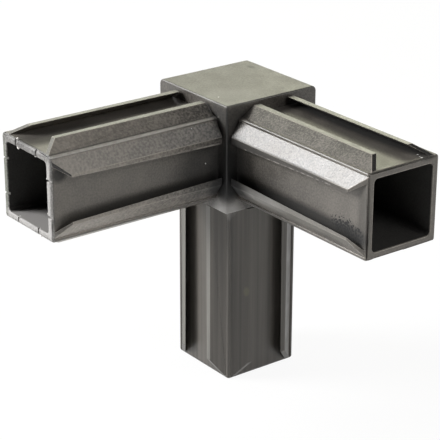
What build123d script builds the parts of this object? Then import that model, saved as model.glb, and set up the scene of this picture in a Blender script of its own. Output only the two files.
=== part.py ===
"""Three way corner connector for square tube, moulded in one piece.

Millimetres, +Z up.  The origin is the centre of the hub, where the axes of
the three plugs cross.  One plug points along +X, one along -Y and one, the
leg, along -Z.  The hub shows a plain closed face on the other three sides.
"""
from build123d import *
import os

# ---- driving sizes ----------------------------------------------------------
TUBE_OUTSIDE = 25.0        # outside of the square tube; the hub is flush with it
TUBE_WALL = 1.0            # wall of the tube that is pushed over each plug
GRIP = 0.17                # how far each barb tip stands into the tube's wall

PLUG_REACH = 42.8          # hub face to the free end of a plug
CORE_WIDTH = 19.1          # outside of the hollow square core of a plug
CORE_WALL = 1.6            # wall of that core
CORE_CORNER_ROUND = 0.45   # outer corners of the core
BORE_CORNER_ROUND = 1.0    # inner corners of the core
RIM_ROUND = 0.6            # outer edge round the open end of a plug
MOUTH_BREAK = 0.15         # inner edge of the same end

BEAD_WIDTH = 0.8           # bead left along each core corner, between its two barbs
BEAD_HEIGHT = 0.15         # how far the bead stands over the foot of a barb
BARB_REACH = 3.25          # bead to barb tip, measured along the face of the core
BARB_FLAT_AT_HUB = 1.65    # width of the flat on a barb tip, at the hub
BARB_FLAT_AT_END = 1.3     # the same at the free end: the grooves have draft
BARB_LEAD = 3.9            # length over which a barb runs out at the free end
BARB_LEAD_STOP = 0.4       # where it has run out, short of the end
HUB_RELIEF = 0.5           # gap between the barbs and the hub, for the tube's burr
RELIEF_DEPTH = 0.4         # how deep that gap runs into the core's corners

HUB_ROUND = 1.2            # hub edges between two closed faces
HUB_EDGE_BREAK = 0.35      # hub edges round a face that carries a plug

NICK_SPACING = 8.0         # between the two nicks in each side of the left plug's rim
NICK_WIDTH = 0.45          # each nick, along the rim
NICK_DEPTH = 0.5           # each nick, from the end into the wall

# ---- sizes that follow ------------------------------------------------------
HUB_HALF = TUBE_OUTSIDE / 2
CORE_HALF = CORE_WIDTH / 2
BORE_HALF = CORE_HALF - CORE_WALL
PLUG_END = HUB_HALF + PLUG_REACH
TIP_HEIGHT = HUB_HALF - TUBE_WALL + GRIP         # barb tip flat, from the axis
BEAD_FOOT = CORE_HALF - BEAD_WIDTH               # inner side of the bead
BARB_TIP = BEAD_FOOT - BARB_REACH                # outer corner of the tip flat
BARB_START = HUB_HALF + HUB_RELIEF
OVERLAP = CORE_WALL / 2                          # how far a barb is rooted in the core
CLEAR = TUBE_OUTSIDE                             # cutters reach this far past the part

PLUGS = {
    "right": Plane(origin=(0, 0, 0), x_dir=(0, 1, 0), z_dir=(1, 0, 0)),
    "left": Plane(origin=(0, 0, 0), x_dir=(1, 0, 0), z_dir=(0, -1, 0)),
    "leg": Plane(origin=(0, 0, 0), x_dir=(1, 0, 0), z_dir=(0, 0, -1)),
}


def polygon(points):
    """A flat face with straight sides through the given points."""
    return make_face(Polyline(*points, close=True))


def drafted_bar(profile_low, z_low, profile_high, z_high):
    """A bar with flat sides between two like profiles at two heights."""
    low = [Vector(x, y, z_low) for x, y in profile_low]
    high = [Vector(x, y, z_high) for x, y in profile_high]
    faces = [Face(Wire.make_polygon(low)), Face(Wire.make_polygon(high))]
    for i in range(len(low)):
        j = (i + 1) % len(low)
        faces.append(Face(Wire.make_polygon([low[i], low[j], high[j], high[i]])))
    return Solid(Shell(faces))


def four_sides(shape):
    """The shape and its copies a quarter, a half and three quarters round the axis."""
    return [shape.rotate(Axis.Z, 90 * quarter) for quarter in range(4)]


def barb_profile(flat_width):
    """Section of the barb that leans from the +x +y corner over the +y face."""
    return [
        (BEAD_FOOT, CORE_HALF - BEAD_HEIGHT),
        (BARB_TIP, TIP_HEIGHT),
        (BARB_TIP - flat_width, TIP_HEIGHT),
        (BEAD_FOOT - flat_width, CORE_HALF - BEAD_HEIGHT),
        (BEAD_FOOT - flat_width, CORE_HALF - BEAD_HEIGHT - OVERLAP),
        (BEAD_FOOT, CORE_HALF - BEAD_HEIGHT - OVERLAP),
    ]


def barb_pair():
    """The two barbs over the +y face, cut off on a slope at the free end."""
    barb = drafted_bar(barb_profile(BARB_FLAT_AT_HUB), BARB_START,
                       barb_profile(BARB_FLAT_AT_END), PLUG_END - BARB_LEAD_STOP)
    slope = polygon([
        (CORE_HALF, PLUG_END - BARB_LEAD_STOP),
        (TIP_HEIGHT, PLUG_END - BARB_LEAD),
        (TIP_HEIGHT + OVERLAP, PLUG_END - BARB_LEAD),
        (TIP_HEIGHT + OVERLAP, PLUG_END),
        (CORE_HALF, PLUG_END),
    ])
    wedge = extrude(Plane.YZ * slope, amount=CLEAR, both=True)
    barb = barb - wedge
    return [barb, mirror(barb, about=Plane.YZ)]


def core():
    """The square core of a plug as a solid bar, with its end broken by a small round."""
    bar = extrude(RectangleRounded(CORE_WIDTH, CORE_WIDTH, CORE_CORNER_ROUND), PLUG_END)
    return fillet(bar.faces().sort_by(Axis.Z)[-1].edges(), RIM_ROUND)


def bead_grooves():
    """What is cut from the +y face of the core so that the two beads stand proud."""
    rise = TIP_HEIGHT - (CORE_HALF - BEAD_HEIGHT)
    width = BEAD_HEIGHT * BARB_REACH / rise
    section = polygon([
        (BEAD_FOOT, CORE_HALF - BEAD_HEIGHT),
        (BEAD_FOOT, CORE_HALF + BEAD_HEIGHT),
        (BEAD_FOOT - 2 * width, CORE_HALF + BEAD_HEIGHT),
    ])
    groove = extrude(Pos(0, 0, BARB_START) * section, PLUG_END)
    return [groove, mirror(groove, about=Plane.YZ)]


def corner_reliefs():
    """Notches in the four corners of the core, where the barbs stop short of the hub."""
    inner = CORE_WIDTH - 2 * RELIEF_DEPTH
    ring = Rectangle(TUBE_OUTSIDE, TUBE_OUTSIDE) - Rectangle(inner, inner)
    zone = BEAD_WIDTH + BARB_FLAT_AT_HUB
    for corner in GridLocations(CORE_WIDTH, CORE_WIDTH, 2, 2):
        patch = ring & (corner * Rectangle(2 * zone, 2 * zone))
        yield extrude(Pos(0, 0, HUB_HALF) * patch, HUB_RELIEF)


def plug():
    """One plug along +Z of its own plane, still without its bore."""
    bar = core()
    for groove in bead_grooves():
        bar = bar - four_sides(groove)
    bar = bar - list(corner_reliefs())
    for barb in barb_pair():
        bar = bar + four_sides(barb)
    return bar


def bore():
    """The square bore of one plug: in at the free end and on to the far wall of the hub."""
    section = RectangleRounded(2 * BORE_HALF, 2 * BORE_HALF, BORE_CORNER_ROUND)
    hole = extrude(Pos(0, 0, -BORE_HALF) * section, PLUG_END + BORE_HALF + CLEAR)
    wide = 2 * (BORE_HALF + MOUTH_BREAK)
    brim = RectangleRounded(wide, wide, BORE_CORNER_ROUND + MOUTH_BREAK)
    mouth = loft([Pos(0, 0, PLUG_END - MOUTH_BREAK) * section, Pos(0, 0, PLUG_END) * brim])
    return hole + mouth


def rim_nicks():
    """Fine nicks across a plug's rim, two in each side, as wear has left them."""
    slot = Box(NICK_WIDTH, CORE_WIDTH, 2 * NICK_DEPTH)
    side = [Pos(x, CORE_HALF, PLUG_END) * slot for x in (-NICK_SPACING / 2, NICK_SPACING / 2)]
    nicks = []
    for nick in side:
        nicks = nicks + four_sides(nick)
    return nicks


def hub():
    """The cube that the plugs grow from, rounded between its three closed faces."""
    cube = Box(TUBE_OUTSIDE, TUBE_OUTSIDE, TUBE_OUTSIDE)
    closed = [cube.faces().sort_by(Axis.X)[0], cube.faces().sort_by(Axis.Y)[-1], cube.faces().sort_by(Axis.Z)[-1]]
    rounded = [edge for edge in cube.edges()
               if sum(face.distance_to(edge.center()) < HUB_EDGE_BREAK / 10 for face in closed) == 2]
    cube = fillet(rounded, HUB_ROUND)
    carrying = [cube.faces().sort_by(Axis.X)[-1], cube.faces().sort_by(Axis.Y)[0], cube.faces().sort_by(Axis.Z)[0]]
    broken = []
    for face in carrying:
        for edge in face.edges():
            if not any(edge.is_same(other) for other in broken):
                broken.append(edge)
    return fillet(broken, HUB_EDGE_BREAK)


def corner_connector():
    """Hub and plugs fused, then bored out so that the three bores meet in the hub."""
    body = hub()
    for plane in PLUGS.values():
        body = body + plane.location * plug()
    for plane in PLUGS.values():
        body = body - plane.location * bore()
    left = PLUGS["left"].location
    return body - [left * nick for nick in rim_nicks()]


os.makedirs("parts", exist_ok=True)
connector = corner_connector()
export_step(connector, "parts/corner_connector.step")

centre = connector.center(CenterOf.MASS)
print("solids", len(connector.solids()), "valid", connector.is_valid)
print("volume", round(connector.volume, 1), "mm3, centre of mass", tuple(round(v, 2) for v in centre))
print("barb tips", round(2 * TIP_HEIGHT, 2), "mm across, bore", round(2 * BORE_HALF, 2), "mm square")
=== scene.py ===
# %% [markdown]
# # A three way corner connector in black nylon
# The real part is one moulding. A cube hub carries three hollow square plugs, and two barbs lean over
# every side of a plug to grip the inside of a tube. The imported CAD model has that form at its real
# size, so this lesson adds what CAD leaves out: softened edges, the grain that the mould leaves, the
# marks of use, and a light in which a black part can be read.

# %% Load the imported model
import math
import bmesh
import bpy
from mathutils import Matrix, Vector


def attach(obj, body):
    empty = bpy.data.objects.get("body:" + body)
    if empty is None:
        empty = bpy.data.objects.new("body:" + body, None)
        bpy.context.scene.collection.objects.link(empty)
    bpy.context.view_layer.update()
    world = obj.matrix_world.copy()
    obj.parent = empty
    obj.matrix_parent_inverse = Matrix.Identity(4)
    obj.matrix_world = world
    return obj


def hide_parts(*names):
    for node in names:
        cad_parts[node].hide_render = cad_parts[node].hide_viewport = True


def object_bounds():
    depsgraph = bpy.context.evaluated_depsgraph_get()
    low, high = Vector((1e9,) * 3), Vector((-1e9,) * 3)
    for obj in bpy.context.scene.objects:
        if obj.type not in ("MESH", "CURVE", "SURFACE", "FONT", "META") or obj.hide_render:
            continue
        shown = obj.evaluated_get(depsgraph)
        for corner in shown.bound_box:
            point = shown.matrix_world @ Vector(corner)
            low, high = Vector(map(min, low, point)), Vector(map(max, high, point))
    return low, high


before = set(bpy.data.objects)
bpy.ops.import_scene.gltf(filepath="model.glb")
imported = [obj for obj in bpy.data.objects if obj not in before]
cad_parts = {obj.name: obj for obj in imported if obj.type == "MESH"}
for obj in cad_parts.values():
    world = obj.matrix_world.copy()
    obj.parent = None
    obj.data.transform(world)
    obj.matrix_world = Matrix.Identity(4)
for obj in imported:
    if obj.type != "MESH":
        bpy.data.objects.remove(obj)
cad_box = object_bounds()
cad_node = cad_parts["corner_connector"]
low, high = cad_box
MM = 0.001
print("CAD box in mm", [round(v / MM, 2) for v in low], [round(v / MM, 2) for v in high])

# %% [markdown]
# ## The camera
# The part is seen from above and from the corner between two of its plugs, from far enough away that
# its edges hardly converge. A camera can be aimed with a constraint, but writing down its three axes
# keeps a small roll and a small shift exact, and the scene then reads the same in every file.

# %% Camera
CAMERA_AZIMUTH = math.radians(52.997)
CAMERA_ELEVATION = math.radians(22.385)
CAMERA_ROLL = math.radians(0.186)
CAMERA_DISTANCE = 400.06 * MM
CAMERA_RIGHT = -3.89 * MM
CAMERA_UP = -19.36 * MM
SENSOR_WIDTH = 36
LENS_OVER_SENSOR = 4.0205


def camera_axes():
    across = math.cos(CAMERA_ELEVATION)
    back = Vector((
        math.sin(CAMERA_AZIMUTH) * across,
        -math.cos(CAMERA_AZIMUTH) * across,
        math.sin(CAMERA_ELEVATION),
    ))
    level = Vector((math.cos(CAMERA_AZIMUTH), math.sin(CAMERA_AZIMUTH), 0))
    upright = back.cross(level)
    right = level * math.cos(CAMERA_ROLL) + upright * math.sin(CAMERA_ROLL)
    up = upright * math.cos(CAMERA_ROLL) - level * math.sin(CAMERA_ROLL)
    return right, up, back


def add_camera():
    data = bpy.data.cameras.new("camera")
    data.sensor_width = SENSOR_WIDTH
    data.lens = LENS_OVER_SENSOR * SENSOR_WIDTH
    camera = bpy.data.objects.new("camera", data)
    bpy.context.scene.collection.objects.link(camera)
    right, up, back = camera_axes()
    turn = Matrix((right, up, back)).transposed()
    place = back * CAMERA_DISTANCE + right * CAMERA_RIGHT + up * CAMERA_UP
    camera.matrix_world = Matrix.Translation(place) @ turn.to_4x4()
    bpy.context.scene.camera = camera
    return camera


camera = add_camera()
print("lens", round(camera.data.lens, 1), "mm, camera at", [round(v, 3) for v in camera.location])

# %% [markdown]
# ## A clean copy of the CAD mesh
# A CAD mesh arrives as loose triangles. Merging their doubled points makes it one closed skin, and a
# limited dissolve joins the triangles of each flat face, so that a bevel finds only real edges. The CAD
# node itself is left alone, because it still carries the collision shapes.

# %% Clean copy
MERGE = 0.001 * MM
FLAT = math.radians(0.4)


def select_only(piece):
    bpy.ops.object.select_all(action="DESELECT")
    piece.select_set(True)
    bpy.context.view_layer.objects.active = piece


def edit_all(piece, operator, **settings):
    select_only(piece)
    bpy.ops.object.mode_set(mode="EDIT")
    bpy.ops.mesh.select_all(action="SELECT")
    operator(**settings)
    bpy.ops.object.mode_set(mode="OBJECT")


def copy_of_cad(name):
    piece = cad_node.copy()
    piece.data = cad_node.data.copy()
    piece.name = name
    piece.data.name = name
    bpy.context.scene.collection.objects.link(piece)
    edit_all(piece, bpy.ops.mesh.remove_doubles, threshold=MERGE)
    edit_all(piece, bpy.ops.mesh.dissolve_limited, angle_limit=FLAT)
    return piece


body = copy_of_cad("moulded_body")
print("faces after cleaning", len(body.data.polygons))

# %% [markdown]
# ## The narrow ends of the side barbs
# On the side walls of the two level plugs the flat of a barb's tip narrows towards the open end, more
# than on the other walls, because the mould's draft takes it from the barb's underside. In edit mode one
# would drag the corner of each flat that is nearer the middle of the wall. Here it is found by its place,
# and it moves inside the material, so the part does not grow anywhere.

# %% Narrow the side tips
TIP_HEIGHT = 11.67 * MM
FLAT_CORNER = 4.2 * MM
NARROWED_TO = 4.85 * MM
NEAR = 0.12 * MM
OPEN_END_FROM = 40 * MM


def is_flat_corner(point):
    on_right_side = abs(abs(point.y) - TIP_HEIGHT) < NEAR and point.x > OPEN_END_FROM
    on_left_side = abs(abs(point.x) - TIP_HEIGHT) < NEAR and point.y < -OPEN_END_FROM
    return (on_right_side or on_left_side) and abs(abs(point.z) - FLAT_CORNER) < NEAR


def narrow_side_tips(piece):
    corners = [vertex for vertex in piece.data.vertices if is_flat_corner(vertex.co)]
    for vertex in corners:
        vertex.co.z = math.copysign(NARROWED_TO, vertex.co.z)
    return len(corners)


print("flat corners moved", narrow_side_tips(body))

# %% [markdown]
# ## Edges with a width
# An outer edge of a moulding is never sharp: the cutter that made the mould and the handling since
# leave a round of about a tenth of a millimetre, and that round is what catches the light. A shader
# can fake it, but real geometry holds in every view. Only outer edges get it, through a bevel weight,
# because the inner corners under the barbs stay crisp and dark. The narrow faces that the bevel makes
# take a finish of their own, so that worn edges can be paler than the faces beside them, and points that
# it leaves in one place are merged again.

# %% Soft edges
FINISHES = (
    "plain_nylon",
    "worn_edge",
    "grained_barb",
    "dark_bore",
    "worn_rim",
    "rubbed_tip_and_painted_light",
    "painted_shade_slope",
    "coarse_barb",
)
PLAIN, EDGE, GRAINED, BORE, RIM, TIP_AND_PAINTED_LIGHT, PAINTED_SHADE_SLOPE, COARSE = range(len(FINISHES))
EDGE_ROUND = 0.11 * MM
EDGE_SEGMENTS = 2
SHARP = math.radians(24)
SMOOTH = math.radians(40)
LARGE_FACES_LEAD = 100


def weigh_outer_edges(piece):
    mesh = bmesh.new()
    mesh.from_mesh(piece.data)
    weight = mesh.edges.layers.float.new("bevel_weight_edge")
    count = 0
    for edge in mesh.edges:
        if edge.is_manifold and edge.is_convex and edge.calc_face_angle() > SHARP:
            edge[weight] = 1.0
            count += 1
    mesh.to_mesh(piece.data)
    mesh.free()
    return count


def bevel_outer_edges(piece):
    select_only(piece)
    bevel = piece.modifiers.new("soft_edges", "BEVEL")
    bevel.width = EDGE_ROUND
    bevel.segments = EDGE_SEGMENTS
    bevel.limit_method = "WEIGHT"
    bevel.use_clamp_overlap = False
    bevel.material = EDGE
    bpy.ops.object.modifier_apply(modifier=bevel.name)
    edit_all(piece, bpy.ops.mesh.remove_doubles, threshold=MERGE)


def keep_flats_flat(piece):
    bpy.ops.object.shade_smooth_by_angle(angle=SMOOTH)
    even = piece.modifiers.new("flat_faces_stay_flat", "WEIGHTED_NORMAL")
    even.keep_sharp = True
    even.weight = LARGE_FACES_LEAD
    bpy.ops.object.modifier_apply(modifier=even.name)


body.data.materials.clear()
for finish in FINISHES:
    body.data.materials.append(bpy.data.materials.new(finish))
print("outer edges", weigh_outer_edges(body))
bevel_outer_edges(body)
keep_flats_flat(body)
print("faces with soft edges", len(body.data.polygons))

# %% [markdown]
# ## Where a face lies
# Each face is sorted by where it lies and which way it points, which is how one would pick it by hand.
# A bore's walls run through the hub into the next bore, so a face belongs to the bores when each of its
# corners lies in any of them. A face that leans by 30 to 40 degrees belongs to a barb. The tip flats are
# the level faces at the barbs' full height.

# %% Where a face lies
RIGHT, LEFT, LEG = range(3)
ALONG = {RIGHT: 1, LEFT: -1, LEG: -1}
BORE_HALF = 7.95 * MM
CORE_HALF = 9.55 * MM
PLUG_END = high[0]
SLACK = 0.02 * MM
MOUTH = 0.1 * MM
LEVEL = 0.999
STRAIGHT = 0.05
LEAN_FROM = 0.5
LEAN_TO = 0.65


def in_bore_of(plug, point):
    aside = max(abs(point[other]) for other in range(3) if other != plug)
    along = point[plug] * ALONG[plug]
    return aside < BORE_HALF + SLACK and -BORE_HALF - SLACK < along < PLUG_END - MOUTH


def in_bores(points):
    return all(any(in_bore_of(plug, point) for plug in ALONG) for point in points)


def at_mouth(points):
    return all(sorted(abs(value) for value in point)[1] < BORE_HALF + 2 * MOUTH for point in points)


def leans(normal):
    parts = sorted(abs(value) for value in normal)
    return parts[0] < STRAIGHT and LEAN_FROM < parts[1] < LEAN_TO


def plug_of(centre):
    return max(ALONG, key=lambda plug: centre[plug] * ALONG[plug])


def on_flat(face, axis):
    level = abs(face.normal[axis]) > LEVEL
    return level and abs(abs(face.center[axis]) - TIP_HEIGHT) < SLACK


def corners_of(face):
    return [body.data.vertices[index].co for index in face.vertices]


print("faces in the bores", sum(in_bores(corners_of(face)) for face in body.data.polygons))

# %% [markdown]
# ## Which face gets which finish
# The mould is polished on the cores, the hub and the slopes where a barb runs out, and it is left
# grained on the leaning sides of the barbs, more coarsely on the left plug. The bores are drawn off a
# dull pin, the nicked rim of the left plug is worn, and tubes have rubbed some of the barb tips pale. A
# leaning face that looks along its plug is the slope on which a barb runs out at the open end. The
# slopes on top of the right plug and on the upper sides of the left plug are painted near black as
# painted shade, and those on top of the left plug take the pale tip finish as painted light. Picking
# the faces by hand would do as well, but a rule for each finish says why a face has it.

# %% Sort the faces
RIM_BAND = 0.7 * MM
SLOPE_FROM = 0.4


def is_rubbed(face, plug):
    front_of_leg = plug == LEG and face.normal.y < 0 and on_flat(face, 1)
    return on_flat(face, 2) or front_of_leg


def finish_of_slope(face, plug):
    on_top = face.center.z > CORE_HALF
    # The pale tip finish on the left plug's top slopes is painted light, and the dark slope finish is
    # painted shade.
    if plug == LEFT and on_top:
        return TIP_AND_PAINTED_LIGHT
    glossy = on_top if plug == RIGHT else plug == LEFT and face.center.z > 0
    return PAINTED_SHADE_SLOPE if glossy else PLAIN


def finish_of_leaning(face, plug):
    if abs(face.normal[plug]) > SLOPE_FROM:
        return finish_of_slope(face, plug)
    return {RIGHT: GRAINED, LEFT: COARSE, LEG: PLAIN}[plug]


def finish_of(face, points):
    plug = plug_of(face.center)
    if in_bores(points):
        return BORE
    if face.center.y < -PLUG_END + RIM_BAND:
        return RIM
    if face.material_index == EDGE:
        return EDGE if plug != LEG and not at_mouth(points) else PLAIN
    if leans(face.normal):
        return finish_of_leaning(face, plug)
    if plug == LEFT and on_flat(face, 0):
        return COARSE
    return TIP_AND_PAINTED_LIGHT if is_rubbed(face, plug) else PLAIN


def sort_faces():
    counts = dict.fromkeys(FINISHES, 0)
    for face in body.data.polygons:
        face.material_index = finish_of(face, corners_of(face))
        counts[FINISHES[face.material_index]] += 1
    return counts


print("faces of each finish", sort_faces())
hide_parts("corner_connector")
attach(body, "root")

# %% [markdown]
# ## A few words for nodes
# Black nylon is never one flat black, so its finishes are built from noise. An image could carry all
# this, but noise on the object's own coordinates stays sharp at any size and needs no unwrapping. One
# helper adds a node and wires it, and the others name the steps, so that each recipe reads as a list.

# %% Node helpers
def put(tree, kind, inputs, **settings):
    fresh = tree.nodes.new("ShaderNode" + kind)
    for name, value in settings.items():
        setattr(fresh, name, value)
    for name, value in inputs.items():
        if isinstance(value, bpy.types.NodeSocket):
            tree.links.new(value, fresh.inputs[name])
        else:
            fresh.inputs[name].default_value = value
    return fresh


def noise(tree, place, feature, detail):
    node = put(tree, "TexNoise", {"Vector": place, "Scale": 1 / feature, "Detail": detail})
    return node.outputs["Fac"]


def remap(tree, value, start, end, low_value, high_value):
    node = put(tree, "MapRange", {
        "Value": value,
        "From Min": start,
        "From Max": end,
        "To Min": low_value,
        "To Max": high_value,
    })
    return node.outputs["Result"]


def combine(tree, operation, first, second):
    return put(tree, "Math", {0: first, 1: second}, operation=operation).outputs[0]


def most_of(tree, shares):
    most = 0.0
    for share in shares:
        most = combine(tree, "MAXIMUM", most, share)
    return most


def vector(tree, operation, first, second):
    return put(tree, "VectorMath", {0: first, 1: second}, operation=operation)


def blend_value(tree, share, first, second):
    return put(tree, "Mix", {0: share, 2: first, 3: second}, data_type="FLOAT").outputs[0]


def blend(tree, share, first, second):
    return put(tree, "Mix", {0: share, 6: first, 7: second}, data_type="RGBA").outputs[2]


words = (put, noise, remap, combine, most_of, vector, blend_value, blend)
print("node helpers", [word.__name__ for word in words])

# %% [markdown]
# ## The shapes of the marks
# Marks are given in millimetres on the part, and three shapes are enough for them. A ball is the inside
# of a small sphere round a point. A patch is the inside of an ellipsoid, and a line mark is all that lies
# near a straight line. Each is full in its core and fades from there to its edge. They could be painted
# on an image, but then each would have to be found again on the unwrapped skin.

# %% Shapes of marks
BALL_CORE = 0.6
PATCH_CORE = 0.5
LINE_CORE = 0.3


def metres(values):
    return tuple(value * MM for value in values)


def ball(tree, place, centre, radius):
    away = vector(tree, "DISTANCE", place, metres(centre)).outputs["Value"]
    return remap(tree, away, radius * MM, BALL_CORE * radius * MM, 0, 1)


def patch(tree, place, centre, reach):
    shift = vector(tree, "SUBTRACT", place, metres(centre)).outputs[0]
    scaled = vector(tree, "DIVIDE", shift, metres(reach)).outputs[0]
    size = put(tree, "VectorMath", {0: scaled}, operation="LENGTH").outputs["Value"]
    return remap(tree, size, 1, PATCH_CORE, 0, 1)


def line_mark(tree, place, start, end, width):
    first, last = Vector(metres(start)), Vector(metres(end))
    way = (last - first).normalized()
    shift = vector(tree, "SUBTRACT", place, first).outputs[0]
    along = vector(tree, "DOT_PRODUCT", shift, way).outputs["Value"]
    held = put(tree, "Clamp", {"Value": along, "Max": (last - first).length}).outputs[0]
    step = put(tree, "VectorMath", {0: way, "Scale": held}, operation="SCALE").outputs[0]
    away = vector(tree, "DISTANCE", shift, step).outputs["Value"]
    return remap(tree, away, width * MM, LINE_CORE * width * MM, 0, 1)


def all_of(tree, place, shape, marks):
    return most_of(tree, [shape(tree, place, *mark) for mark in marks.values()])


print("shapes of marks", [shape.__name__ for shape in (ball, patch, line_mark)])

# %% [markdown]
# ## Chips, scrapes, scuffs and a painted highlight
# A few marks belong to this very part: pale specks where the skin is chipped, ragged pale lines where
# a tube's edge has scraped along a barb, and a cloud of dark scuffs by the open end of the right plug.
# A pale line along the bead of the left plug is a painted highlight, drawn with the scrapes.
# Noise breaks the scrapes up. The scuffs are round dots from a cell pattern, and they shrink towards
# the edge of their patch, because a cut-out of plain noise would look like writing at this size.

# %% Chips, scrapes, scuffs and a painted highlight
# A speck has its centre and radius, a line mark its two ends and width, a scuff its centre and reach.
SPECKS = {
    "left_bead": ((9.71, -19.83, 8.31), 0.14),
    "left_side_wall": ((9.55, -15.99, -0.59), 0.2),
    "hub_top": ((6.15, -9.95, 12.5), 0.2),
    "right_top_wall": ((52.8, 5.8, 9.55), 0.25),
    "right_top_end": ((54.6, 5.25, 9.55), 0.3),
    "left_rim_top": ((-3.4, -54.8, 9.54), 0.3),
    "left_rim_bottom": ((-4.2, -54.8, -8.0), 0.25),
}
SCRAPES_AND_BEAD_HIGHLIGHT = {
    "right_side_tip": ((18.0, -11.67, 4.0), (46.0, -11.67, 4.78), 0.3),
    # Painted highlight along the rounded bead, drawn as a line mark.
    "left_bead": ((9.42, -14.0, 9.42), (9.42, -55.0, 9.42), 0.4),
    "left_side_tip": ((11.67, -14.0, 4.1), (11.67, -49.0, 4.8), 0.3),
    "right_top_tip": ((16.0, 4.6, 11.67), (50.0, 4.9, 11.67), 0.14),
    "left_top_tip": ((-4.9, -16.0, 11.67), (-4.6, -50.0, 11.67), 0.12),
}
SCUFFS = {
    "along_the_wall": ((48.4, -9.55, -3.9), (5.8, 1.0, 2.8)),
    "by_the_rim": ((51.7, -9.55, -4.8), (4.2, 1.0, 3.4)),
}
FINE_DETAIL = 4
RAGGED = 1.1 * MM
RAGGED_SPREAD = (0.42, 0.6)
SCUFF_DOTS = 0.5 * MM
WIDEST_DOT = 0.62
SOFT_DOT = 0.1


def all_specks(tree, place):
    return all_of(tree, place, ball, SPECKS)


def all_scrapes_and_bead_highlight(tree, place):
    share = all_of(tree, place, line_mark, SCRAPES_AND_BEAD_HIGHLIGHT)
    broken = remap(tree, noise(tree, place, RAGGED, FINE_DETAIL), *RAGGED_SPREAD, 0, 1)
    return combine(tree, "MULTIPLY", share, broken)


def all_scuffs(tree, place):
    share = all_of(tree, place, patch, SCUFFS)
    cells = put(tree, "TexVoronoi", {"Vector": place, "Scale": 1 / SCUFF_DOTS})
    widest = combine(tree, "MULTIPLY", share, WIDEST_DOT)
    inside = combine(tree, "SUBTRACT", widest, cells.outputs["Distance"])
    return remap(tree, inside, 0, SOFT_DOT, 0, 1)


print("specks", list(SPECKS))
print("scrapes_and_bead_highlight", list(SCRAPES_AND_BEAD_HIGHLIGHT))
print("scuffs", list(SCUFFS))

# %% [markdown]
# ## Painted shade, grime, dust and painted light
# Painted shade darkens the corners by the hub, the hub's front edge, the low sides of the cores, the
# undercuts and side tips of the barbs, the channel on top of the left plug, the groove beside the left
# bead and the roots of the level plugs, and a few patches only make the part darker on the hub's top,
# the right plug's top, the left rim and behind the scuffs. Dust and rubbing have left the right low
# barb, the hub's top and parts of the nicked rim paler, and painted light brightens the hub's lower
# corner, the right low barb by the hub and the bead of the left plug. Each is a patch with a tone and a
# strength, and each is laid over the skin in turn.

# %% Painted shade, grime, dust and painted light
BLACK = (0.004, 0.004, 0.004, 1)
BROWN = (0.018, 0.016, 0.013, 1)
OLIVE = (0.12, 0.12, 0.07, 1)
DUSTY = (0.16, 0.155, 0.14, 1)
PALE = (0.36, 0.35, 0.34, 1)
GREENISH = (0.07, 0.08, 0.055, 1)
BEAD_HIGHLIGHT = (0.6, 0.58, 0.54, 1)
# Each patch has its centre, its reach, its tone and its strength.
# Painted shade, except hub_top_spot, right_top_channel, left_rim_top and behind_scuffs, which only make
# the part darker there.
SHADE_AND_GRIME = {
    "hub_top_spot": ((-6.8, 9.1, 12.5), (1.7, 1.0, 1.0), BLACK, 0.3),
    "left_plug_by_hub": ((10.5, -15.0, -1.0), (9.0, 12.0, 9.0), BLACK, 0.6),
    "hub_corner_low": ((12.5, -12.5, -3.0), (4.5, 4.5, 9.0), BLACK, 0.7),
    "far_barb_underside": ((34.0, 6.6, 9.7), (34.0, 3.4, 1.6), BLACK, 0.9),
    "right_top_channel": ((42.0, 2.5, 9.55), (18.0, 3.0, 1.0), BROWN, 0.5),
    "left_top_channel": ((-1.5, -47.0, 9.55), (5.5, 16.0, 1.0), BROWN, 0.7),
    "right_side_low": ((34.0, -9.55, -5.4), (36.0, 1.0, 2.8), BLACK, 0.85),
    "left_side_low": ((9.55, -32.0, -5.4), (1.0, 30.0, 2.7), BLACK, 0.75),
    "left_side_barb_end": ((9.6, -53.2, 5.3), (1.3, 2.4, 2.3), BLACK, 0.85),
    "right_side_by_rim": ((54.4, -9.55, -1.0), (2.6, 1.0, 9.5), BROWN, 0.5),
    "right_side_tip_by_hub": ((16.0, -11.67, 4.5), (12.0, 0.5, 1.6), BLACK, 0.7),
    "right_side_tip": ((34.0, -11.67, 5.0), (26.0, 0.5, 1.1), BROWN, 0.75),
    "right_low_barb_by_hub": ((12.8, -11.0, -6.0), (7.5, 2.6, 4.4), BLACK, 0.93),
    "left_low_barb_by_hub": ((11.0, -12.8, -6.0), (2.6, 5.0, 4.4), BLACK, 0.85),
    "left_rim_top": ((0.0, -55.3, 8.9), (16.0, 0.9, 1.6), BROWN, 0.35),
    "hub_front_edge": ((12.5, -12.5, 3.0), (0.9, 0.9, 14.0), BLACK, 0.6),
    "left_bead_groove": ((8.85, -36.0, 9.6), (0.42, 46.0, 0.6), BLACK, 0.8),
    "right_plug_root": ((13.0, -9.8, 9.2), (1.3, 4.6, 5.4), BLACK, 0.65),
    "left_plug_root": ((9.8, -13.0, 9.2), (4.6, 1.3, 5.4), BLACK, 0.65),
    "behind_scuffs": ((50.6, -9.55, -4.8), (5.6, 1.0, 3.0), BLACK, 0.5),
}
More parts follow.
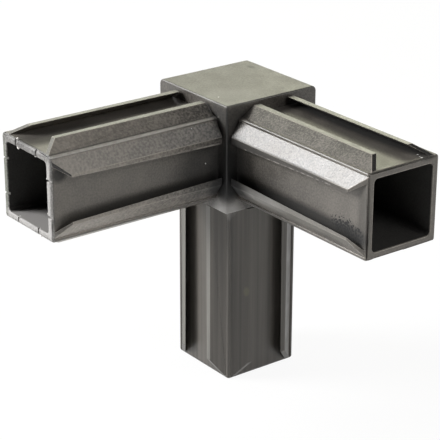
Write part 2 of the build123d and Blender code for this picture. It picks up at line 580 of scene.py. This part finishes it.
DUST_AND_PAINTED_LIGHT = {
    # Painted light on the hub's lower corner.
    "under_hub_corner": ((12.5, -12.5, -13.2), (5.5, 5.5, 4.6), PALE, 0.9),
    "hub_top": ((9.0, -9.0, 12.5), (10.0, 10.0, 1.0), DUSTY, 0.4),
    "right_low_barb": ((30.0, -11.4, -6.6), (32.0, 1.7, 4.4), DUSTY, 0.6),
    # Painted light over the shade by the hub.
    "right_low_barb_by_hub": ((23.0, -11.6, -6.3), (10.0, 1.4, 3.5), PALE, 0.4),
    "leg_barb_stain": ((11.44, -5.83, -33.3), (0.9, 0.9, 1.4), OLIVE, 0.5),
    "left_rim_left_side": ((-8.8, -55.3, 0.0), (1.2, 0.9, 12.0), GREENISH, 0.7),
    "left_rim_right_side": ((8.8, -55.3, -1.0), (1.6, 0.9, 14.0), PALE, 0.5),
    "left_rim_bottom": ((0.0, -55.3, -8.0), (12.0, 9.0, 1.2), PALE, 0.6),
    # Painted highlight along the rounded bead.
    "left_bead": ((9.5, -40.0, 9.35), (0.4, 40.0, 0.5), BEAD_HIGHLIGHT, 0.5),
}


def shares_of(tree, place, patches):
    return [
        combine(tree, "MULTIPLY", patch(tree, place, centre, reach), strength)
        for centre, reach, tone, strength in patches.values()
    ]


def laid_over(tree, skin, patches, shares):
    for (centre, reach, tone, strength), share in zip(patches.values(), shares):
        skin = blend(tree, share, skin, tone)
    return skin


print("painted_shade_and_grime", list(SHADE_AND_GRIME))
print("dust_and_painted_light", list(DUST_AND_PAINTED_LIGHT))

# %% [markdown]
# ## The skin under the marks
# The skin has a fine grain from the mould and slow clouds where the melt flowed. The leg has faint
# streaks along its length instead, drawn as it left the mould, and a shallower grain. Towards the ends
# of the level plugs the skin goes greyer, partly where tubes have rubbed it and partly as painted light,
# which keeps it darker by the hub as painted shade.

# %% Skin
SLOW_DETAIL = 3
STREAK = 0.9 * MM
STREAK_STRETCH = (1, 1, 0.015)
STREAK_SPREAD = (0.3, 0.7)
STREAK_TONES = (0.1, 0.9)
GRAIN_SHARE = 0.7
CLOUD_SHARE = 0.3
MOTTLE_SPREAD = (0.4, 0.6)
LEG_FROM = -12.4 * MM
LEG_BELOW = -12.6 * MM
RUB_AND_LIGHT_FROM = 13 * MM
RUB_AND_LIGHT_STRENGTH = 0.32


def on_leg(tree, place):
    height = put(tree, "SeparateXYZ", {"Vector": place}).outputs["Z"]
    return remap(tree, height, LEG_FROM, LEG_BELOW, 0, 1)


def streaks(tree, place):
    drawn = vector(tree, "MULTIPLY", place, STREAK_STRETCH).outputs[0]
    return remap(tree, noise(tree, drawn, STREAK, SLOW_DETAIL), *STREAK_SPREAD, *STREAK_TONES)


def mottle(tree, grain, cloud):
    fine = combine(tree, "MULTIPLY", grain, GRAIN_SHARE)
    slow = combine(tree, "MULTIPLY", cloud, CLOUD_SHARE)
    return remap(tree, combine(tree, "ADD", fine, slow), *MOTTLE_SPREAD, 0, 1)


# The part goes paler outwards from the hub, partly as wear and partly as painted light and shade.
def rub_and_light_outwards(tree, place, right_share, rub_and_light_to):
    parts = put(tree, "SeparateXYZ", {"Vector": place})
    right = combine(tree, "MULTIPLY", parts.outputs["X"], right_share)
    left = combine(tree, "MULTIPLY", parts.outputs["Y"], -1.0)
    return remap(tree, combine(tree, "MAXIMUM", right, left), RUB_AND_LIGHT_FROM, rub_and_light_to, 0, 1)


def rubbed_and_lit_skin(tree, place, fresh, rub_and_light):
    tone, right_share, rub_and_light_to = rub_and_light
    worn_and_lit = blend(tree, RUB_AND_LIGHT_STRENGTH, fresh, (*tone, 1))
    return blend(tree, rub_and_light_outwards(tree, place, right_share, rub_and_light_to), fresh, worn_and_lit)


print("streaks", STREAK / MM, "mm wide, rubbed from", RUB_AND_LIGHT_FROM / MM, "mm outwards")

# %% [markdown]
# ## One recipe for the nylon
# All finishes share one recipe and differ in a few numbers: how dark the skin is, how far rubbing and
# painted light pale it, how glossy it is, and how wide and deep the grain stands. Marks are laid over the
# skin, dust and painted light first and chips last, and painted shade, grime and scuffs also take its
# gloss. Bump is enough for the grain, which is only hundredths of a millimetre high.

# %% Recipe
CLOUD = 4 * MM
CLOUD_SPREAD = (0.35, 0.65)
SHADE_AND_GRIME_ROUGHNESS = 0.7
SCRAPE_AND_HIGHLIGHT_STRENGTH = 0.8
LEG_GRAIN = 0.35
PALE_CHIP = (0.62, 0.62, 0.6, 1)
SCRAPED_AND_HIGHLIT = (0.26, 0.24, 0.22, 1)
SCUFFED = (0.006, 0.006, 0.006, 1)


def marked_skin(tree, place, skin):
    # Dust and painted light, then painted shade and grime, scuffs, scrapes and the bead's painted
    # highlight, and chips.
    skin = laid_over(tree, skin, DUST_AND_PAINTED_LIGHT, shares_of(tree, place, DUST_AND_PAINTED_LIGHT))
    shade_and_grime = shares_of(tree, place, SHADE_AND_GRIME)
    skin = laid_over(tree, skin, SHADE_AND_GRIME, shade_and_grime)
    scuffed = all_scuffs(tree, place)
    skin = blend(tree, scuffed, skin, SCUFFED)
    scraped_and_highlit = combine(tree, "MULTIPLY", all_scrapes_and_bead_highlight(tree, place), SCRAPE_AND_HIGHLIGHT_STRENGTH)
    skin = blend(tree, scraped_and_highlit, skin, SCRAPED_AND_HIGHLIT)
    skin = blend(tree, all_specks(tree, place), skin, PALE_CHIP)
    return skin, most_of(tree, [*shade_and_grime, scuffed])


def nylon(material, tones, rub_and_light, roughness, grain_size):
    dark, light = tones
    glossy, dull = roughness
    grain_width, grain_depth = metres(grain_size)
    material.use_nodes = True
    tree = material.node_tree
    shader = tree.nodes["Principled BSDF"]
    place = put(tree, "TexCoord", {}).outputs["Object"]
    grain = noise(tree, place, grain_width, FINE_DETAIL)
    cloud = noise(tree, place, CLOUD, SLOW_DETAIL)
    leg = on_leg(tree, place)
    pattern = blend_value(tree, leg, mottle(tree, grain, cloud), streaks(tree, place))
    fresh = blend(tree, pattern, (*dark, 1), (*light, 1))
    skin, shade_and_grime = marked_skin(tree, place, rubbed_and_lit_skin(tree, place, fresh, rub_and_light))
    tree.links.new(skin, shader.inputs["Base Color"])
    clean = remap(tree, cloud, *CLOUD_SPREAD, glossy, dull)
    tree.links.new(blend_value(tree, shade_and_grime, clean, SHADE_AND_GRIME_ROUGHNESS), shader.inputs["Roughness"])
    depth = remap(tree, leg, 0, 1, 1.0, LEG_GRAIN)
    bump = put(tree, "Bump", {"Height": grain, "Distance": grain_depth, "Strength": depth})
    tree.links.new(bump.outputs["Normal"], shader.inputs["Normal"])
    return shader


print("recipe ready, grimy roughness", SHADE_AND_GRIME_ROUGHNESS)

# %% [markdown]
# ## The eight finishes
# Each finish gives its dark and light tone, its rub, its roughness where it is glossy and where it is
# dull, and the width and depth of its grain in millimetres. A rub, partly wear from tubes and partly
# painted light that leaves the part darker by the hub, is the tone that it leads to, its share on the
# right plug, and how far out it is complete, which for a face that is not rubbed is far past the part.
# Warm, olive and grey are three casts of the same black. Any of these could be a material made by
# hand in the shader editor, but one recipe keeps them kin. A bore mirrors nothing, because its walls are
# dull and face each other.

# %% Finishes
def warm(level):
    return (level * 1.1, level, level * 0.88)


def olive(level):
    return (level * 1.03, level, level * 0.9)


def grey(level):
    return (level * 1.04, level, level * 0.96)


RUBBED_AND_LIT_EARLY = (0.6, 34 * MM)
RUBBED_AND_LIT_LATE = (0.0, 50 * MM)
NOT_RUBBED = (grey(0.01), 0.0, 1000 * MM)


def plain_nylon(material):
    nylon(
        material,
        tones=(warm(0.035), warm(0.08)),
        # Darker by the hub and paler outwards: painted shade and light, and partly wear.
        rub_and_light=(warm(0.18), *RUBBED_AND_LIT_EARLY),
        roughness=(0.32, 0.42),
        grain_size=(0.4, 0.03),
    )


def worn_edge(material):
    nylon(
        material,
        tones=(warm(0.12), warm(0.24)),
        rub_and_light=(warm(0.3), *RUBBED_AND_LIT_EARLY),
        roughness=(0.33, 0.4),
        grain_size=(0.4, 0.02),
    )


def grained_barb(material):
    nylon(
        material,
        tones=(warm(0.034), warm(0.118)),
        rub_and_light=NOT_RUBBED,
        roughness=(0.33, 0.38),
        grain_size=(0.4, 0.042),
    )


def dark_bore(material):
    shader = nylon(
        material,
        tones=(grey(0.04), grey(0.05)),
        rub_and_light=NOT_RUBBED,
        roughness=(0.5, 0.6),
        grain_size=(0.4, 0.01),
    )
    shader.inputs["Specular IOR Level"].default_value = 0.0


def worn_rim(material):
    nylon(
        material,
        tones=(grey(0.07), grey(0.26)),
        rub_and_light=NOT_RUBBED,
        roughness=(0.34, 0.46),
        grain_size=(0.45, 0.07),
    )


# Its pale olive tones also serve the left plug's top slopes, where they are painted light.
def rubbed_tip_and_painted_light(material):
    nylon(
        material,
        tones=(olive(0.075), olive(0.14)),
        rub_and_light=(olive(0.12), *RUBBED_AND_LIT_EARLY),
        roughness=(0.3, 0.4),
        grain_size=(0.4, 0.03),
    )


# Its near black tones are painted shade on the slopes that take it.
def painted_shade_slope(material):
    nylon(
        material,
        tones=(warm(0.01), warm(0.02)),
        rub_and_light=NOT_RUBBED,
        roughness=(0.2, 0.26),
        grain_size=(0.4, 0.01),
    )


def coarse_barb(material):
    nylon(
        material,
        tones=(warm(0.022), warm(0.135)),
        # Paler towards the open end of the left plug: painted light, and partly wear.
        rub_and_light=(warm(0.48), *RUBBED_AND_LIT_LATE),
        roughness=(0.32, 0.4),
        grain_size=(0.56, 0.06),
    )


makers = (
    plain_nylon,
    worn_edge,
    grained_barb,
    dark_bore,
    worn_rim,
    rubbed_tip_and_painted_light,
    painted_shade_slope,
    coarse_barb,
)
for material, maker in zip(body.data.materials, makers):
    maker(material)
print("finishes", [material.name for material in body.data.materials])

# %% [markdown]
# ## Burrs at the nicked rim
# The rim of the left plug has a pair of fine nicks in every wall. Tearing them left small pale burrs,
# because stretched nylon whitens, and one more stands at the end of the right plug. They could be part of
# the finish, but they stand off the surface, so they are real shapes: one burr is made from a ball that
# is roughened and eased, and all eight are stretched and turned copies of its mesh.

# %% Burrs
# A burr has its centre and its width each way.
BURRS = (
    ((-3.3, -55.0, 7.75), (0.65, 0.54, 0.7)),
    ((-3.4, -55.0, 9.7), (0.7, 0.54, 0.6)),
    ((3.65, -55.0, 7.9), (0.4, 0.5, 0.3)),
    ((7.95, -54.97, 4.3), (0.5, 0.6, 0.5)),
    ((7.95, -54.97, -3.4), (0.45, 0.6, 0.5)),
    ((4.6, -54.97, -9.55), (0.6, 0.6, 0.3)),
    ((-4.2, -54.97, -8.05), (0.4, 0.5, 0.3)),
    ((53.9, 5.4, 9.52), (0.5, 0.35, 0.2)),
)
BURR_ROUGHNESS = {"offset": 0.16, "uniform": 1, "normal": 0.4, "seed": 7}
BURR_EASING = 0.3
BURR_TURN = 1.7


def make_burr():
    bpy.ops.object.select_all(action="DESELECT")
    bpy.ops.mesh.primitive_ico_sphere_add(subdivisions=3, radius=1, location=(0, 0, 0))
    burr = bpy.context.object
    burr.name = "burr"
    edit_all(burr, bpy.ops.transform.vertex_random, **BURR_ROUGHNESS)
    edit_all(burr, bpy.ops.mesh.vertices_smooth, factor=BURR_EASING)
    return burr


def place_burr(pattern, index, centre, width):
    piece = pattern.copy()
    piece.data = pattern.data.copy()
    bpy.context.scene.collection.objects.link(piece)
    turn = Matrix.Rotation(BURR_TURN * index, 4, "Y")
    size = Matrix.Diagonal((*(value / 2 for value in metres(width)), 1))
    piece.data.transform(Matrix.Translation(metres(centre)) @ size @ turn)
    return piece


def make_burrs():
    pattern = make_burr()
    pieces = [place_burr(pattern, index, *burr) for index, burr in enumerate(BURRS)]
    bpy.data.objects.remove(pattern)
    select_only(pieces[0])
    for piece in pieces:
        piece.select_set(True)
    bpy.ops.object.join()
    joined = bpy.context.object
    joined.name = "rim_burrs"
    joined.data.name = "rim_burrs"
    bpy.ops.object.shade_smooth()
    return joined


def whitened_nylon():
    material = bpy.data.materials.new("whitened_nylon")
    nylon(
        material,
        tones=(grey(0.6), grey(0.95)),
        rub_and_light=NOT_RUBBED,
        roughness=(0.4, 0.5),
        grain_size=(0.4, 0.02),
    )
    return material


burrs = make_burrs()
burrs.data.materials.append(whitened_nylon())
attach(burrs, "root")
print("burrs", len(BURRS), "faces", len(burrs.data.polygons))

# %% [markdown]
# ## A white floor that still takes a shadow
# The part stands on white paper. Paper that is only lit turns grey, and more light would bleach the
# part, so the floor glows for what the camera, a gloss or a glass sees of it, and stays ordinary paper
# for the light itself. A small share of ordinary paper is kept in view, and that share shows the shadow.

# %% Floor
FLOOR_SIDE = 6
SEEN_GLOW = 0.93
PAPER = (0.85, 0.85, 0.85, 1)


def seen_directly(tree):
    path = put(tree, "LightPath", {})
    share = combine(tree, "ADD", path.outputs["Is Camera Ray"], path.outputs["Is Glossy Ray"])
    return combine(tree, "ADD", share, path.outputs["Is Transmission Ray"])


def white_paper():
    material = bpy.data.materials.new("white_paper")
    material.use_nodes = True
    tree = material.node_tree
    tree.nodes.clear()
    paper = put(tree, "BsdfDiffuse", {"Color": PAPER})
    glow = put(tree, "Emission", {"Strength": 1.0})
    share = combine(tree, "MULTIPLY", seen_directly(tree), SEEN_GLOW)
    mix = put(tree, "MixShader", {0: share, 1: paper.outputs[0], 2: glow.outputs[0]})
    put(tree, "OutputMaterial", {"Surface": mix.outputs[0]})
    return material


def make_floor():
    bpy.ops.object.select_all(action="DESELECT")
    bpy.ops.mesh.primitive_plane_add(size=FLOOR_SIDE, location=(0, 0, low[2]))
    floor = bpy.context.object
    floor.name = "floor"
    floor.data.materials.append(white_paper())
    return floor


floor = make_floor()
print("floor at", round(floor.location.z / MM, 2), "mm")

# %% [markdown]
# ## The room
# Past the floor the room is white near the horizon and dark overhead. A glossy face that looks level
# shows white, and one that looks up shows the dark ceiling, so the leaning sides of the barbs part from
# the level ones. It is drawn in the world's background, where no wall can throw a shadow.

# %% World
WHITE_UP_TO = 0.25
DARK_FROM = 0.6
CEILING = 0.05
FILL = 0.02


def make_world():
    world = bpy.data.worlds.new("studio")
    bpy.context.scene.world = world
    world.use_nodes = True
    tree = world.node_tree
    way = put(tree, "TexCoord", {})
    parts = put(tree, "SeparateXYZ", {"Vector": way.outputs["Generated"]})
    band = put(tree, "MapRange", {
        "Value": parts.outputs["Z"],
        "From Min": WHITE_UP_TO,
        "From Max": DARK_FROM,
        "To Min": 1.0,
        "To Max": CEILING,
    }, interpolation_type="SMOOTHSTEP")
    level = remap(tree, seen_directly(tree), 0, 1, FILL, 1)
    background = tree.nodes["Background"]
    tree.links.new(band.outputs[0], background.inputs["Color"])
    tree.links.new(level, background.inputs["Strength"])


make_world()
print("room white up to", WHITE_UP_TO, "dark from", DARK_FROM)

# %% [markdown]
# ## The lamps
# Black plastic shows mostly what it mirrors, so its light is placed like a set of cards. Three lamps
# side by side at the left make one broad key that lights up a leaning barb side from end to end. Three
# slightly yellow cards behind the part are mirrored in everything that faces up. The rest are weaker: a
# low one under the key, and others that bring out the walls that face away from it.

# %% Lamps
LAMP_AWAY = 0.9
LAMP_SIDE = 0.34
WHITE = (1, 1, 1)
# Each lamp has an azimuth and an elevation in degrees, a brightness and a colour.
LAMPS = {
    "key": (-130, 28, 28.0, WHITE),
    "key_high": (-138, 38, 5.0, WHITE),
    "key_front": (-124, 24, 7.5, WHITE),
    "left_low": (-120, 8, 5.5, WHITE),
    "card_behind": (143, 24, 1.25, (1, 1, 0.66)),
    "card_behind_right": (128, 24, 2.0, (1, 1, 0.72)),
    "card_behind_left": (158, 24, 1.2, (0.97, 1, 0.76)),
    "left_high": (-168, 42, 2.2, (1, 1, 0.85)),
    "back_high": (76, 55, 0.3, WHITE),
    "right_back": (43, 36, 1.6, WHITE),
    "right_low": (30, 15, 3.0, (1, 0.96, 0.84)),
    "top": (0, 89.9, 1.4, WHITE),
    "right_high": (9, 42, 5.6, WHITE),
}


def way_to(azimuth, elevation):
    across = math.cos(math.radians(elevation))
    return Vector((
        math.cos(math.radians(azimuth)) * across,
        math.sin(math.radians(azimuth)) * across,
        math.sin(math.radians(elevation)),
    ))


def add_lamp(name, azimuth, elevation, radiance, colour):
    way = way_to(azimuth, elevation)
    data = bpy.data.lights.new(name, "AREA")
    data.size = LAMP_SIDE
    data.color = colour
    data.energy = radiance * math.pi * LAMP_SIDE ** 2
    lamp = bpy.data.objects.new(name, data)
    bpy.context.scene.collection.objects.link(lamp)
    lamp.location = way * LAMP_AWAY
    lamp.rotation_euler = way.to_track_quat("Z", "Y").to_euler()
    return lamp


for name, setting in LAMPS.items():
    lamp = add_lamp(name, *setting)
    print(name, round(lamp.data.energy, 2), "W")

# %% [markdown]
# ## Finish
# Colours are shown as they are, without a film look.

# %% Finish
bpy.context.scene.view_settings.view_transform = "Standard"
